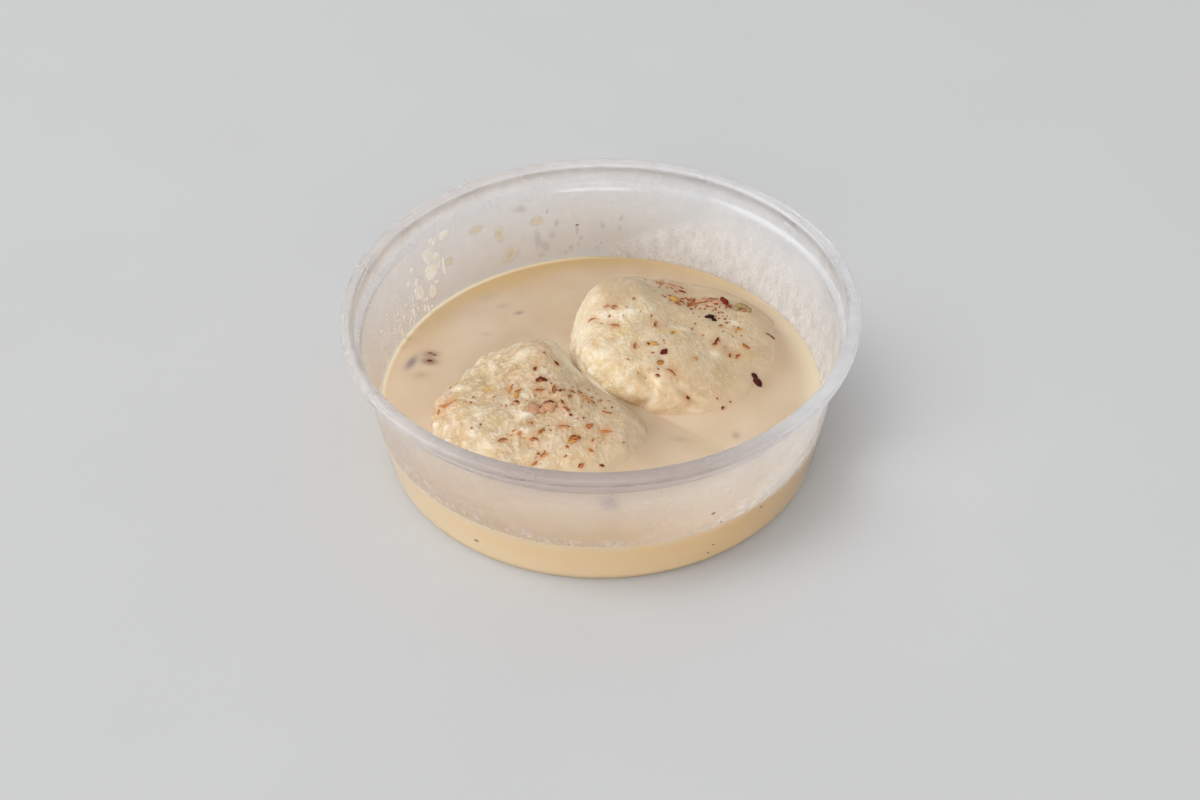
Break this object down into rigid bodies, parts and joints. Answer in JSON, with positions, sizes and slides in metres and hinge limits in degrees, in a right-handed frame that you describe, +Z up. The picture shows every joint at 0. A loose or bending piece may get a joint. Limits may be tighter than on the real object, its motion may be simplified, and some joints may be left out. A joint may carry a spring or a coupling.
{
  "type": "rasmalai in a clear tub",
  "caption": "Soft curd patties topped with chopped nuts, half sunk in saffron milk in a shallow round clear plastic tub with a rolled rim.",
  "frame": {"origin": "centre of the tub's base, on the surface it stands on", "axes": "+Z up; +Y away from the viewer; +X to the viewer's right"},
  "size_m": [0.118, 0.118, 0.038],
  "materials": {
    "clear_plastic": "clear polypropylene, slightly frosted",
    "saffron_milk": "wet, opaque sweet milk",
    "curd": "moist soaked curd with a lumpy skin and chopped nuts"
  },
  "bodies": {
    "root": {"tub": "clear_plastic", "milk": "saffron_milk", "patty_back": "curd", "patty_front": "curd"}
  },
  "joints": []
}
